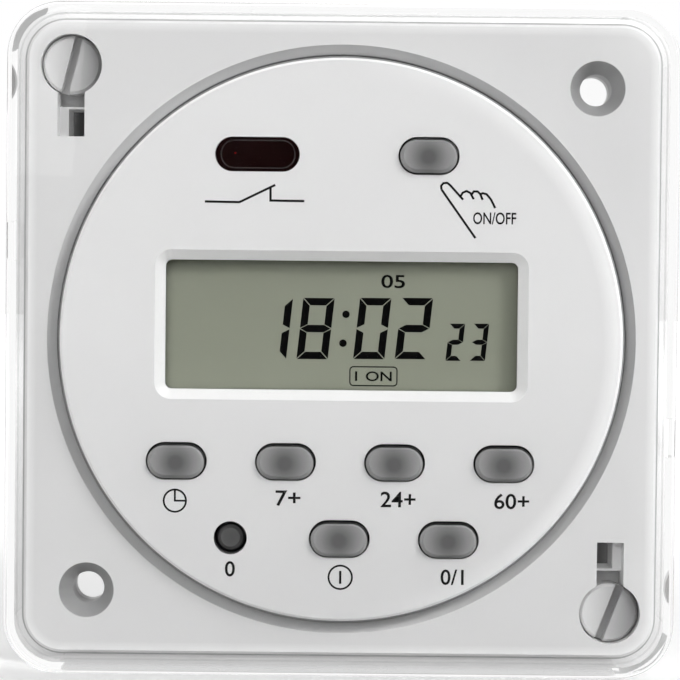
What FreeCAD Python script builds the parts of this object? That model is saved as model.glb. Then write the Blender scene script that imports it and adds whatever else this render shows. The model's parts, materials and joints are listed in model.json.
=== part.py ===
import FreeCAD, Part
import enum
import math
import os
import re
import Sketcher

# Digital timer switch for panel mounting, in millimetres.
# The front looks along -Y, +X is to the right and +Z is up. The origin is the centre of the
# flange's rear face, which lies on the panel: smaller Y is in front of the panel.

doc = FreeCAD.newDocument("DigitalTimerSwitch")
sheet = doc.addObject("Spreadsheet::Sheet", "Sizes")

# Driving dimensions: the alias, the value and what it measures.
DRIVING = [
    ("flange_width", 57.8, "width and height of the square flange"),
    ("flange_corner", 3.75, "outer corner radius of the flange"),
    ("flange_depth", 5.5, "flange face in front of the panel"),
    ("flange_edge", 0.4, "chamfer of the flange's front edge"),
    ("flange_rim", 1.6, "wall left outside the cored corners"),
    ("flange_skin", 1.8, "thickness of the flange's face over the cored corners"),
    ("core_reach", 14.0, "inner limit of a cored corner from the middle"),
    ("ring_chamfer", 1.0, "width of the chamfer round the front panel's bore"),
    ("ring_depth", 1.7, "depth of that chamfer"),
    ("bore_depth", 4.0, "depth of the bore that takes the front panel"),
    ("bore_wall", 1.65, "wall round that bore"),
    ("body_inset", 2.7, "side of the case inside the flange's edge"),
    ("body_corner", 19.0, "corner radius of the case"),
    ("body_wall", 1.5, "wall of the case"),
    ("body_depth", 14.6, "length of the case behind the panel"),
    ("fixing_inset", 5.9, "fixing hole inside the flange's edges"),
    ("fixing_radius", 1.45, "radius of a fixing hole"),
    ("fixing_sink", 1.05, "width of a fixing hole's countersink"),
    ("fixing_sink_depth", 1.8, "depth of that countersink"),
    ("fixing_boss", 3.5, "radius of the boss round a fixing hole"),
    ("clamp_inset", 4.2, "clamp screw inside the flange's edges"),
    ("clamp_bore", 2.775, "radius of the recess for a clamp screw's head"),
    ("clamp_sink", 3.0, "depth of that recess"),
    ("guide_radius", 2.45, "inner radius of the claw's guide"),
    ("keyhole_width", 2.45, "width of the slot beside a clamp screw"),
    ("keyhole_reach", 6.5, "reach of that slot from the screw"),
    ("keyhole_sink", 1.9, "depth of that slot to its ledge"),
    ("peephole_width", 1.65, "width of the opening through the ledge"),
    ("peephole_start", 3.9, "that opening's near end from the screw"),
    ("bush_radius", 2.4, "radius of the bush under a clamp screw's head"),
    ("bush_skin", 1.5, "thickness of that bush"),
    ("bush_reach", 3.64, "reach of the bush's tongue in the slot"),
    ("bush_gap", 0.05, "gap round the bush and its tongue"),
    ("guide_wall", 0.6, "wall of the claw's guide"),
    ("guide_end", 1.2, "thickness of the guide's end wall"),
    ("guide_stop", 0.12, "clearance of the arm at each stop"),
    ("disc_inset", 3.3, "edge of the front panel inside the flange's edge"),
    ("disc_gap", 0.15, "gap round the front panel"),
    ("disc_rise", 1.4, "front panel's face in front of the flange"),
    ("disc_edge", 0.4, "chamfer of the front panel's edge"),
    ("disc_skin", 1.8, "thickness of the front panel"),
    ("disc_wall", 1.5, "wall of the front panel's skirt"),
    ("boss_inset", 4.2, "board screw inside the front panel's edge"),
    ("boss_radius", 1.8, "radius of a board screw's boss"),
    ("glass_lap", 2.05, "display glass beyond the opening at each end"),
    ("window_inset", 13.9, "height of the display's opening less than the disc's radius"),
    ("window_rise", 1.3, "middle of the display above the disc's middle"),
    ("window_corner", 0.6, "corner radius of the opening"),
    ("window_bevel", 0.9, "sloping frame round the opening"),
    ("pane_sink", 0.9, "display pane behind the front panel's face"),
    ("pane_rim", 1.1, "overlap of the pane's rim behind the front panel"),
    ("pane_rim_skin", 0.5, "thickness of that rim"),
    ("pane_gap", 0.06, "gap round the pane and the indicator lens"),
    ("glass_inset", 7.6, "end of the display glass inside the front panel's edge"),
    ("glass_rise", 2.15, "display glass beyond the opening above and below"),
    ("glass_skin", 1.8, "thickness of the display glass"),
    ("holder_wall", 1.2, "wall of the display holder"),
    ("holder_gap", 0.1, "gap between the display glass and its holder"),
    ("strip_width", 1.2, "width of a rubber contact strip"),
    ("strip_end", 1.5, "display glass beyond a contact strip at each end"),
    ("strip_inset", 0.3, "contact strip from the glass's edge"),
    ("key_width", 5.2, "width of a key"),
    ("key_height", 3.1, "height of a key"),
    ("key_gap", 0.15, "gap round a key"),
    ("key_rise", 0.6, "key in front of the front panel"),
    ("key_crown", 0.3, "chamfer of a key's front edge"),
    ("key_rim", 0.6, "overlap of a key's rim behind the front panel"),
    ("key_rim_skin", 0.8, "thickness of that rim"),
    ("key_rim_gap", 0.1, "play in front of that rim"),
    ("key_travel", 0.4, "travel of a key"),
    ("manual_across", 7.72, "manual key and indicator from the middle"),
    ("manual_gap", 3.83, "gap from the display holder to the switch above it"),
    ("row_inset", 10.81, "middle of an outer key inside the front panel's edge"),
    ("switch_gap", 0.78, "gap from the display holder to the switches below it"),
    ("row_drop", 6.93, "lower key row below the upper one"),
    ("reset_bore", 1.5, "radius of the reset key's hole"),
    ("reset_radius", 1.15, "radius of the reset key"),
    ("reset_sink", 0.5, "reset key behind the front panel's face"),
    ("reset_rim", 2.0, "radius of the reset key's rim"),
    ("stem_width", 1.8, "width of a key's square stem and of a switch plunger"),
    ("lens_width", 7.5, "indicator lens"),
    ("lens_height", 3.0, "height of the indicator lens"),
    ("lens_rim", 0.6, "overlap of the lens's rim behind the front panel"),
    ("lens_rim_skin", 0.8, "thickness of that rim"),
    ("lens_sink", 0.1, "lens behind the front panel's face"),
    ("board_inset", 1.8, "edge of the main board inside the front panel's"),
    ("board_skin", 1.2, "thickness of the main board"),
    ("board_rear", 0.6, "rear face of the main board behind the panel"),
    ("switch_width", 4.5, "key switch"),
    ("switch_height", 2.0, "height of a key switch above the board"),
    ("plunger_rise", 0.5, "switch plunger above its switch"),
    ("plunger_root", 0.5, "switch plunger inside its switch"),
    ("plunger_gap", 0.08, "gap round a switch plunger"),
    ("lamp_radius", 1.25, "radius of the indicator lamp"),
    ("lamp_height", 2.9, "height of the indicator lamp above the board"),
    ("cover_wall", 0.9, "wall of the clear cover"),
    ("cover_gap", 0.2, "gap between the flange and the clear cover"),
    ("cover_corner", 4.85, "outer corner radius of the clear cover"),
    ("cover_front", 9.5, "clear cover's face in front of the panel"),
    ("cover_edge", 0.5, "rounding of the clear cover's front edge"),
    ("cover_notch_width", 17.0, "finger notch in the cover's rim"),
    ("cover_notch_depth", 1.6, "depth of that notch"),
    ("snap_offset", 8.75, "snap tab from the middle, along Z"),
    ("snap_height", 3.3, "length of a snap tab"),
    ("snap_depth", 1.2, "snap tab along the cover's depth"),
    ("snap_centre", 2.0, "middle of a snap tab in front of the panel"),
    ("snap_rise", 0.45, "snap tab beyond the flange's side"),
    ("snap_gap", 0.1, "gap round a snap tab in the cover's slot"),
    ("head_radius", 2.65, "radius of a clamp screw's head"),
    ("head_height", 2.4, "height of that head"),
    ("head_edge", 0.25, "chamfer of that head"),
    ("slot_width", 0.75, "screwdriver slot"),
    ("slot_depth", 1.2, "depth of that slot"),
    ("slot_turn_upper", 14.0, "angle of the upper left screw's slot from upright"),
    ("slot_turn_lower", 21.0, "angle of the lower right screw's slot from upright"),
    ("shank_radius", 1.2, "radius of a clamp screw's shank"),
    ("shank_gap", 0.05, "gap round that shank"),
    ("nut_radius", 1.7, "radius of the clamp nut's bush"),
    ("nut_collar", 2.3, "radius of the clamp nut's collar"),
    ("nut_collar_skin", 1.2, "thickness of that collar"),
    ("claw_gap", 0.05, "gap between the claw's eye and the nut"),
    ("claw_eye", 2.3, "outer radius of the claw's eye"),
    ("claw_height", 3.2, "length of the claw's eye"),
    ("claw_width", 2.2, "width of the claw's arm"),
    ("claw_reach", 6.3, "reach of the claw from its screw"),
    ("claw_skin", 1.6, "thickness of the claw's arm"),
    ("claw_start", 2.1, "claw behind the flange at rest"),
    ("closure_skin", 1.6, "plate of the rear cover"),
    ("closure_gap", 0.15, "gap between the case and the rear cover's rim"),
    ("closure_rim", 1.2, "wall of the rear cover's rim"),
    ("closure_insert", 2.4, "depth of that rim in the case"),
    ("hook_width", 7.6, "width of a snap hook"),
    ("hook_rise", 0.9, "height of a snap hook"),
    ("hook_depth", 1.2, "length of a snap hook"),
    ("hook_gap", 0.15, "gap round a snap hook in its window"),
    ("block_wall", 1.2, "wall of the terminal block"),
    ("block_depth", 6.3, "depth of the terminal chambers"),
    ("block_inset", 3.6, "end of the terminal block inside the case's side"),
    ("chamber_height", 9.6, "height of a terminal chamber"),
    ("blade_width", 6.3, "width of a terminal blade"),
    ("blade_skin", 0.8, "thickness of a terminal blade"),
    ("blade_reach", 5.9, "blade behind the rear cover's plate"),
    ("blade_gap", 0.1, "gap round a blade in the rear cover"),
    ("blade_point", 0.7, "lead-in at a blade's tip"),
    ("blade_hole", 0.9, "radius of the detent hole"),
    ("blade_hole_back", 3.0, "detent hole from the blade's tip"),
    ("shoulder_width", 7.4, "width of a blade's foot"),
    ("shoulder_gap", 0.2, "gap between a blade's foot and the rear cover"),
    ("supply_inset", 2.0, "edge of the power board inside the case's side"),
    ("supply_skin", 1.6, "thickness of the power board"),
    ("relay_width", 15.0, "relay on the power board, along X"),
    ("relay_length", 19.0, "length of the relay, along Z"),
    ("relay_gap", 1.8, "gap from the relay to the main board"),
    ("relay_inset", 14.7, "middle of the relay inside the power board's edge"),
    ("relay_down", 5.0, "middle of the relay below the middle"),
    ("dropper_width", 18.0, "dropper capacitor on the power board"),
    ("dropper_height", 7.5, "height of the dropper capacitor along Z"),
    ("dropper_gap", 0.6, "gap from the dropper capacitor to the controller chip"),
    ("dropper_up", 14.5, "middle of the dropper capacitor above the middle"),
    ("smoother_radius", 3.15, "radius of the smoothing capacitor"),
    ("smoother_gap", 2.5, "gap from the smoothing capacitor to the main board"),
    ("smoother_inset", 7.7, "smoothing capacitor inside the power board's edge"),
    ("smoother_down", 10.0, "smoothing capacitor below the middle"),
    ("cell_radius", 8.0, "radius of the backup cell"),
    ("cell_depth", 3.2, "thickness of the backup cell"),
    ("cell_gap", 0.8, "gap from the backup cell to the board screw's head"),
    ("cell_up", 2.5, "backup cell above the middle"),
    ("chip_width", 9.0, "controller chip"),
    ("chip_depth", 1.4, "thickness of the controller chip"),
    ("chip_across", 7.0, "controller chip right of the middle"),
    ("chip_up", 12.0, "controller chip above the middle"),
    ("crystal_radius", 1.0, "radius of the quartz crystal's can"),
    ("crystal_length", 6.0, "length of that can"),
    ("crystal_inset", 7.3, "quartz crystal inside the main board's edge"),
    ("crystal_up", 9.0, "lower end of the quartz crystal above the middle"),
    ("header_width", 12.7, "plug strip between the boards"),
    ("header_height", 2.5, "height of that strip along Z"),
    ("header_inset", 3.8, "plug strip inside the main board's edge"),
    ("screw_head_radius", 1.6, "radius of a board screw's head"),
    ("screw_head_height", 1.2, "height of that head"),
    ("screw_radius", 0.8, "radius of a board screw"),
    ("screw_length", 3.5, "board screw in front of the board's front face"),
]

for row, (alias, value, meaning) in enumerate(DRIVING, start=1):
    sheet.set(f"A{row}", meaning)
    sheet.set(f"B{row}", str(value))
    sheet.setAlias(f"B{row}", alias)
doc.recompute()

ALIASES = {alias for alias, value, meaning in DRIVING}
TERMINALS = 5

# Sizes that follow from the driving ones. The display follows the front panel, the keys
# and their switches follow the display, and the boards follow the case.
FOLLOWING = {
    "body_width": "flange_width - 2 * body_inset",
    "fixing_offset": "flange_width / 2 - fixing_inset",
    "clamp_offset": "flange_width / 2 - clamp_inset",
    "disc_radius": "flange_width / 2 - disc_inset",
    "boss_offset": "disc_radius - boss_inset",
    "board_radius": "disc_radius - board_inset",
    "supply_radius": "body_width / 2 - supply_inset",
    "glass_width": "2 * (disc_radius - glass_inset)",
    "window_width": "glass_width - 2 * glass_lap",
    "window_height": "disc_radius - window_inset",
    "glass_height": "window_height + 2 * glass_rise",
    "strip_length": "glass_width - 2 * strip_end",
    "holder_reach": "glass_height / 2 + holder_gap + holder_wall",
    "row_pitch": "(disc_radius - row_inset) / 1.5",
    "upper_row_down": "holder_reach - window_rise + switch_gap + switch_width / 2",
    "lower_row_down": "upper_row_down + row_drop",
    "manual_up": "window_rise + holder_reach + manual_gap + switch_width / 2",
    "crystal_across": "board_radius - crystal_inset",
    "cell_across": "boss_offset - screw_head_radius - cell_gap - cell_radius",
    "board_space": "body_depth - closure_insert - supply_skin - board_rear",
    "relay_height": "board_space - relay_gap",
    "dropper_depth": "board_space - chip_depth - dropper_gap",
    "smoother_depth": "board_space - smoother_gap",
    "relay_across": "supply_radius - relay_inset",
    "smoother_across": "supply_radius - smoother_inset",
    "header_down": "board_radius - header_inset",
    "block_width": "body_width - 2 * block_inset",
    "chamber_pitch": f"(block_width - block_wall) / {TERMINALS}",
    "chamber_width": "chamber_pitch - block_wall",
}

# Lengths this close together count as the same.
CLOSE = 0.001


def sized(formula):
    """The formula with each size's name pointed at the sheet."""
    return re.sub(r"[a-z]+(?:_[a-z]+)+", lambda word: sheet_name(word.group()), f"({formula})")


def sheet_name(word):
    if word in FOLLOWING:
        return sized(FOLLOWING[word])
    if word not in ALIASES:
        raise ValueError(f"no size is called {word}")
    return f"Sizes.{word}"


def worked_out(formula):
    return float(sheet.evalExpression(sized(formula)))


def bind(item, **formulas):
    """Tie properties of an object to formulas of the sheet's sizes."""
    for name, formula in formulas.items():
        item.setExpression(name, sized(formula))


# Depths that several pieces share. All are Y coordinates.
PANEL = "0"
FLANGE_FACE = "-flange_depth"
BORE_SEAT = f"({FLANGE_FACE} + bore_depth)"
DISC_FACE = f"({FLANGE_FACE} - disc_rise)"
DISC_REAR = f"({DISC_FACE} + disc_skin)"
BOARD_FACE = "(board_rear - board_skin)"
SWITCH_FACE = f"({BOARD_FACE} - switch_height)"
PLUNGER_FACE = f"({SWITCH_FACE} - plunger_rise)"
PANE_REAR = f"({DISC_REAR} + pane_rim_skin)"
GLASS_REAR = f"({PANE_REAR} + glass_skin)"
SUPPLY_REAR = "(body_depth - closure_insert)"
SUPPLY_FACE = f"({SUPPLY_REAR} - supply_skin)"
PLATE_REAR = "(body_depth + closure_skin)"
BLOCK_REAR = f"({PLATE_REAR} + block_depth)"
COVER_INSIDE = "(-cover_front + cover_wall)"
HEAD_SEAT = f"({FLANGE_FACE} + clamp_sink)"
BUSH_SEAT = f"({HEAD_SEAT} + bush_skin)"
GUIDE_END = "(body_depth - guide_end)"

# Widths that several pieces share.
DISC_BORE = "(disc_radius + disc_gap)"
HOLLOW_WIDTH = "(body_width - 2 * body_wall)"
HOLLOW_CORNER = "(body_corner - body_wall)"


def new_body(label):
    body = doc.addObject("PartDesign::Body", label)
    body.Label = label
    return body


def axis_of(body, role):
    return next(item for item in body.Origin.OriginFeatures if item.Role == role)


def new_sketch(body, depth, role="XZ_Plane", flip=-1):
    """A sketch parallel to the panel, at this Y: its own x is X and its own y is Z."""
    sketch = body.newObject("Sketcher::SketchObject", body.Label + "_sketch")
    sketch.AttachmentSupport = [(axis_of(body, role), "")]
    sketch.MapMode = "FlatFace"
    sketch.setExpression("AttachmentOffset.Base.z", sized(f"{flip} * ({depth})"))
    return sketch


def hold(sketch, kind, formula, *points):
    """A sketch dimension tied to a formula."""
    number = sketch.addConstraint(Sketcher.Constraint(kind, *points, worked_out(formula)))
    sketch.setExpression(f"Constraints[{number}]", sized(formula))


class Spot(enum.IntEnum):
    """The numbers by which a sketch knows the points of a curve."""

    START = 1
    END = 2
    CENTRE = 3




def pin(sketch, curve, point, across, up):
    """Hold a point of a curve at its place from the sketch's origin."""
    axes = -1
    hold(sketch, "DistanceX", across, axes, Spot.START, curve, point)
    hold(sketch, "DistanceY", up, axes, Spot.START, curve, point)


def vector(across, up):
    return FreeCAD.Vector(worked_out(across), worked_out(up), 0)


def draw_circle(sketch, across, up, radius):
    circle = Part.Circle(vector(across, up), FreeCAD.Vector(0, 0, 1), worked_out(radius))
    curve = sketch.addGeometry(circle, False)
    pin(sketch, curve, Spot.CENTRE, across, up)
    hold(sketch, "Radius", radius, curve)
    return curve


def draw_polygon(sketch, points):
    """A closed outline of straight lines through points given as formulas."""
    corners = [vector(across, up) for across, up in points]
    lines = []
    for number, corner in enumerate(corners):
        line = Part.LineSegment(corner, corners[(number + 1) % len(corners)])
        lines.append(sketch.addGeometry(line, False))
    for number, line in enumerate(lines):
        following = lines[(number + 1) % len(lines)]
        sketch.addConstraint(Sketcher.Constraint("Coincident", line, Spot.END, following, Spot.START))
        pin(sketch, line, Spot.START, *points[number])
    return lines


def draw_box(sketch, across, up, width, height):
    left, right = f"({across}) - ({width}) / 2", f"({across}) + ({width}) / 2"
    low, high = f"({up}) - ({height}) / 2", f"({up}) + ({height}) / 2"
    return draw_polygon(sketch, [(left, low), (right, low), (right, high), (left, high)])


def draw_rounded(sketch, across, up, width, height, radius):
    """A rectangle with round corners, as four arcs joined by tangent lines."""
    reach, rise = f"(({width}) / 2 - ({radius}))", f"(({height}) / 2 - ({radius}))"
    centres = [
        (f"({across}) + {reach}", f"({up}) + {rise}"),
        (f"({across}) - {reach}", f"({up}) + {rise}"),
        (f"({across}) - {reach}", f"({up}) - {rise}"),
        (f"({across}) + {reach}", f"({up}) - {rise}"),
    ]
    quarter = math.pi / 2
    join_arcs(sketch, centres, radius, quarter)


def draw_obround(sketch, across, up, width, height):
    """A slot shape with round ends, lying along its own x."""
    reach = f"(({width}) / 2 - ({height}) / 2)"
    centres = [(f"({across}) + {reach}", up), (f"({across}) - {reach}", up)]
    half_turn = math.pi
    join_arcs(sketch, centres, f"({height}) / 2", half_turn)


def join_arcs(sketch, centres, radius, sweep):
    """Arcs of one radius round the centres, each joined to the next by a tangent line."""
    start_angle = -math.pi / 2 if len(centres) == 2 else 0
    arcs = []
    size = worked_out(radius)
    for number, (across, up) in enumerate(centres):
        circle = Part.Circle(vector(across, up), FreeCAD.Vector(0, 0, 1), size)
        begin = start_angle + number * sweep
        arcs.append(sketch.addGeometry(Part.ArcOfCircle(circle, begin, begin + sweep), False))
    for number, arc in enumerate(arcs):
        pin(sketch, arc, Spot.CENTRE, *centres[number])
        hold(sketch, "Radius", radius, arc)
    for number, arc in enumerate(arcs):
        following = arcs[(number + 1) % len(arcs)]
        start = sketch.Geometry[arc].EndPoint
        end = sketch.Geometry[following].StartPoint
        line = sketch.addGeometry(Part.LineSegment(start, end), False)
        sketch.addConstraint(Sketcher.Constraint("Tangent", arc, Spot.END, line, Spot.START))
        sketch.addConstraint(Sketcher.Constraint("Tangent", line, Spot.END, following, Spot.START))


def pad(body, front, rear, *outlines):
    """Material between two depths: each outline is a drawing function and its formulas."""
    sketch = new_sketch(body, rear)
    for draw, *formulas in outlines:
        draw(sketch, *formulas)
    feature = body.newObject("PartDesign::Pad", body.Label + "_pad")
    feature.Profile = sketch
    bind(feature, Length=f"({rear}) - ({front})")
    doc.recompute()
    return feature


def pocket(body, front, rear, *outlines):
    """A cut between two depths, from the front one towards the rear."""
    sketch = new_sketch(body, front)
    for draw, *formulas in outlines:
        draw(sketch, *formulas)
    before = body.Shape.Volume
    feature = body.newObject("PartDesign::Pocket", body.Label + "_pocket")
    feature.Profile = sketch
    bind(feature, Length=f"({rear}) - ({front})")
    doc.recompute()
    if not body.Shape.Volume < before:
        raise ValueError(f"a pocket of {body.Label} cuts nothing")
    return feature


def edges_where(shape, test):
    return [f"Edge{number}" for number, edge in enumerate(shape.Edges, start=1) if test(edge)]


def lies_at(edge, depth):
    """Does the whole edge lie in the plane of this depth?"""
    box = edge.BoundBox
    target = worked_out(depth)
    return abs(box.YMin - target) < CLOSE and abs(box.YMax - target) < CLOSE


def dress(body, kind, size, test, depth=None):
    """A fillet or a chamfer on the edges that pass the test, the chamfer with its own depth."""
    base = body.Tip
    names = edges_where(base.Shape, test)
    if not names:
        raise ValueError(f"{body.Label} has no edge for its {kind}")
    feature = body.newObject(f"PartDesign::{kind}", f"{body.Label}_{kind.lower()}")
    feature.Base = (base, names)
    bind(feature, **{"Radius" if kind == "Fillet" else "Size": size})
    if depth:
        feature.ChamferType = "Two distances"
        bind(feature, Size2=depth)
    doc.recompute()
    return feature


def opposite(body, features):
    """The same features again, half a turn round the Y axis."""
    pattern = body.newObject("PartDesign::PolarPattern", body.Label + "_pattern")
    pattern.Originals = features
    pattern.Axis = (axis_of(body, "Y_Axis"), [""])
    pattern.Angle = 360
    pattern.Occurrences = 2
    body.Tip = pattern
    doc.recompute()
    return pattern


def place(item, across="0", depth="0", up="0", turn="0"):
    """Put an object at its place, turned about the Y axis."""
    upright = FreeCAD.Rotation(FreeCAD.Vector(0, 1, 0), 0)
    item.Placement = FreeCAD.Placement(FreeCAD.Vector(0, 0, 0), upright)
    item.setExpression("Placement.Base.x", sized(across))
    item.setExpression("Placement.Base.y", sized(depth))
    item.setExpression("Placement.Base.z", sized(up))
    item.setExpression("Placement.Rotation.Angle", sized(turn))


def block(label, across, up, width, height, front, rear):
    """A box centred across and up, between two depths."""
    item = doc.addObject("Part::Box", label)
    item.Label = label
    bind(item, Length=width, Width=f"({rear}) - ({front})", Height=height)
    place(item, f"({across}) - ({width}) / 2", front, f"({up}) - ({height}) / 2")
    return item


def round_bar(label, across, up, radius, front, rear):
    """A cylinder along Y between two depths."""
    item = doc.addObject("Part::Cylinder", label)
    item.Label = label
    bind(item, Radius=radius, Height=f"({rear}) - ({front})")
    item.Placement = FreeCAD.Placement(
        FreeCAD.Vector(0, 0, 0), FreeCAD.Rotation(FreeCAD.Vector(1, 0, 0), -90)
    )
    item.setExpression("Placement.Base.x", sized(across))
    item.setExpression("Placement.Base.y", sized(front))
    item.setExpression("Placement.Base.z", sized(up))
    return item


def combine(kind, label, base, tools):
    """A Part boolean: Cut takes one tool after another, MultiFuse and Compound take all."""
    if kind == "Cut":
        for number, tool in enumerate(tools):
            last = number == len(tools) - 1
            item = doc.addObject("Part::Cut", label if last else f"{label}_step")
            item.Label = label if last else f"{label}_step_{number}"
            item.Base = base
            item.Tool = tool
            base = item
        return base
    item = doc.addObject("Part::MultiFuse" if kind == "Fuse" else "Part::Compound", label)
    item.Label = label
    if kind == "Fuse":
        item.Shapes = [base, *tools]
    else:
        item.Links = [base, *tools]
    return item


# Places of the keys on the front panel: name, across, up and shape.
KEYS = [
    ("manual", "manual_across", "manual_up", "wide"),
    ("clock", "-1.5 * row_pitch", "-upper_row_down", "wide"),
    ("day", "-0.5 * row_pitch", "-upper_row_down", "wide"),
    ("hour", "0.5 * row_pitch", "-upper_row_down", "wide"),
    ("minute", "1.5 * row_pitch", "-upper_row_down", "wide"),
    ("program", "0", "-lower_row_down", "wide"),
    ("mode", "row_pitch", "-lower_row_down", "wide"),
    ("reset", "-row_pitch", "-lower_row_down", "round"),
]


def build_base_housing():
    """The square flange with the round bore, the clamp corners and the case behind."""
    body = new_body("base_housing")
    pad(
        body, FLANGE_FACE, PANEL,
        (draw_rounded, "0", "0", "flange_width", "flange_width", "flange_corner"),
    )
    dress(
        body, "Chamfer", "flange_edge",
        lambda edge: lies_at(edge, FLANGE_FACE),
    )
    pad(
        body, PANEL, "body_depth",
        (draw_rounded, "0", "0", "body_width", "body_width", "body_corner"),
    )
    pocket(body, FLANGE_FACE, BORE_SEAT, (draw_circle, "0", "0", DISC_BORE))
    bore = worked_out(DISC_BORE)
    dress(
        body, "Chamfer", "ring_chamfer",
        lambda edge: lies_at(edge, FLANGE_FACE)
        and edge.Curve.TypeId == "Part::GeomCircle"
        and abs(edge.Curve.Radius - bore) < CLOSE,
        "ring_depth",
    )
    pocket(
        body, BORE_SEAT, "body_depth",
        (draw_rounded, "0", "0", HOLLOW_WIDTH, HOLLOW_WIDTH, HOLLOW_CORNER),
    )
    # windows in both sides for the rear cover's hooks
    window_front = f"({SUPPLY_REAR} + hook_gap)"
    window_rear = f"({SUPPLY_REAR} + 3 * hook_gap + hook_depth)"
    side = "(body_width / 2 - body_wall / 2)"
    window = pocket(
        body, window_front, window_rear,
        (draw_box, f"-{side}", "0", "2 * body_wall", "hook_width + 2 * hook_gap"),
    )
    opposite(body, [window])
    add_fixing_corners(body)
    add_clamp_corners(body)
    # snap tabs on the flange's sides for the clear cover
    tab = pad(
        body, "-snap_centre - snap_depth / 2", "-snap_centre + snap_depth / 2",
        (
            draw_box, "-(flange_width / 2 + snap_rise / 2 - flange_rim / 4)", "snap_offset",
            "snap_rise + flange_rim / 2", "snap_height",
        ),
    )
    opposite(body, [tab])
    return body


def add_fixing_corners(body):
    """Two countersunk fixing holes, each in a boss inside a cored corner."""
    core_front = f"({FLANGE_FACE} + flange_skin)"
    sketch_start = new_sketch(body, core_front)
    draw_core(sketch_start)
    core = body.newObject("PartDesign::Pocket", "base_housing_core")
    core.Profile = sketch_start
    bind(core, Length=f"-{core_front}")
    doc.recompute()
    hole = pocket(
        body, FLANGE_FACE, PANEL,
        (draw_circle, "fixing_offset", "fixing_offset", "fixing_radius"),
    )
    opposite(body, [core, hole])
    radius = worked_out("fixing_radius")
    dress(
        body, "Chamfer", "fixing_sink",
        lambda edge: lies_at(edge, FLANGE_FACE)
        and edge.Curve.TypeId == "Part::GeomCircle"
        and abs(edge.Curve.Radius - radius) < CLOSE,
        "fixing_sink_depth",
    )


def draw_core(sketch):
    """The hollow of a corner: square outside, round along the bore's wall, open round the boss."""
    outer = "(flange_width / 2 - flange_rim)"
    wall = f"({DISC_BORE} + bore_wall)"
    meet = f"sqrt({wall} * {wall} - core_reach * core_reach)"
    points = [("core_reach", meet), ("core_reach", outer), (outer, outer)]
    points += [(outer, "core_reach"), (meet, "core_reach")]
    corners = [vector(across, up) for across, up in points]
    lines = []
    for number in range(len(corners) - 1):
        line = Part.LineSegment(corners[number], corners[number + 1])
        lines.append(sketch.addGeometry(line, False))
        pin(sketch, lines[-1], Spot.START, *points[number])
    for line, following in zip(lines, lines[1:]):
        sketch.addConstraint(Sketcher.Constraint("Coincident", line, Spot.END, following, Spot.START))
    pin(sketch, lines[-1], Spot.END, *points[-1])
    circle = Part.Circle(vector("0", "0"), FreeCAD.Vector(0, 0, 1), worked_out(wall))
    begin = math.atan2(corners[-1].y, corners[-1].x)
    finish = math.atan2(corners[0].y, corners[0].x)
    arc = sketch.addGeometry(Part.ArcOfCircle(circle, begin, finish), False)
    sketch.addConstraint(Sketcher.Constraint("Coincident", arc, Spot.START, lines[-1], Spot.END))
    sketch.addConstraint(Sketcher.Constraint("Coincident", arc, Spot.END, lines[0], Spot.START))
    hold(sketch, "Radius", wall, arc)
    draw_circle(sketch, "fixing_offset", "fixing_offset", "fixing_boss")


def add_clamp_corners(body):
    """Two keyholes for the clamps, each with the claw's guide and stops behind the flange."""
    across, up = "-clamp_offset", "clamp_offset"
    shank_hole = "shank_radius + shank_gap"
    tongue_width = "keyhole_width"
    ledge = f"({FLANGE_FACE} + keyhole_sink)"
    features = [
        pocket(body, FLANGE_FACE, HEAD_SEAT, (draw_circle, across, up, "clamp_bore")),
        pocket(
            body, HEAD_SEAT, BUSH_SEAT, (draw_circle, across, up, "bush_radius + bush_gap")
        ),
        pocket(
            body, BUSH_SEAT, PANEL, (draw_circle, across, up, shank_hole)
        ),
        pocket(
            body, FLANGE_FACE, ledge,
            (
                draw_box, across, f"{up} - keyhole_reach / 2",
                tongue_width, "keyhole_reach",
            ),
        ),
        pocket(
            body, ledge, BUSH_SEAT,
            (
                draw_box, across, f"{up} - (bush_reach + bush_gap) / 2",
                tongue_width, "bush_reach + bush_gap",
            ),
        ),
        pocket(
            body, ledge, PANEL,
            (
                draw_box, f"{across} + keyhole_width / 2 - peephole_width / 2",
                f"{up} - (keyhole_reach + peephole_start) / 2",
                "peephole_width", "keyhole_reach - peephole_start",
            ),
        ),
    ]
    outer = "(guide_radius + guide_wall)"
    features.append(
        pad(
            body, PANEL, "body_depth",
            (draw_circle, across, up, outer), (draw_circle, across, up, "guide_radius"),
        )
    )
    # the outer lower quarter is open, so that the arm swings from one stop to the other
    stop = "(claw_width / 2 + guide_stop)"
    span = f"({outer} + {stop} + guide_wall)"
    features.append(
        pocket(
            body, PANEL, GUIDE_END,
            (
                draw_box, f"{across} + {stop} - {span} / 2", f"{up} + {stop} - {span} / 2",
                span, span,
            ),
        )
    )
    features.append(
        pad(
            body, GUIDE_END, "body_depth",
            (draw_circle, across, up, outer),
            (draw_circle, across, up, "shank_radius + shank_gap"),
        )
    )
    # a wing wall level with the top of the case carries the guide
    wing_start = "(-clamp_offset + guide_radius + guide_wall / 2)"
    wing_end = "(-body_width / 2 + body_corner)"
    top = "(body_width / 2)"
    features.append(
        pad(
            body, PANEL, "body_depth",
            (
                draw_polygon,
                [
                    (wing_start, f"{top} - body_wall"),
                    (wing_end, f"{top} - body_wall"),
                    (wing_end, top),
                    (wing_start, top),
                ],
            ),
        )
    )
    opposite(body, features)


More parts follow.
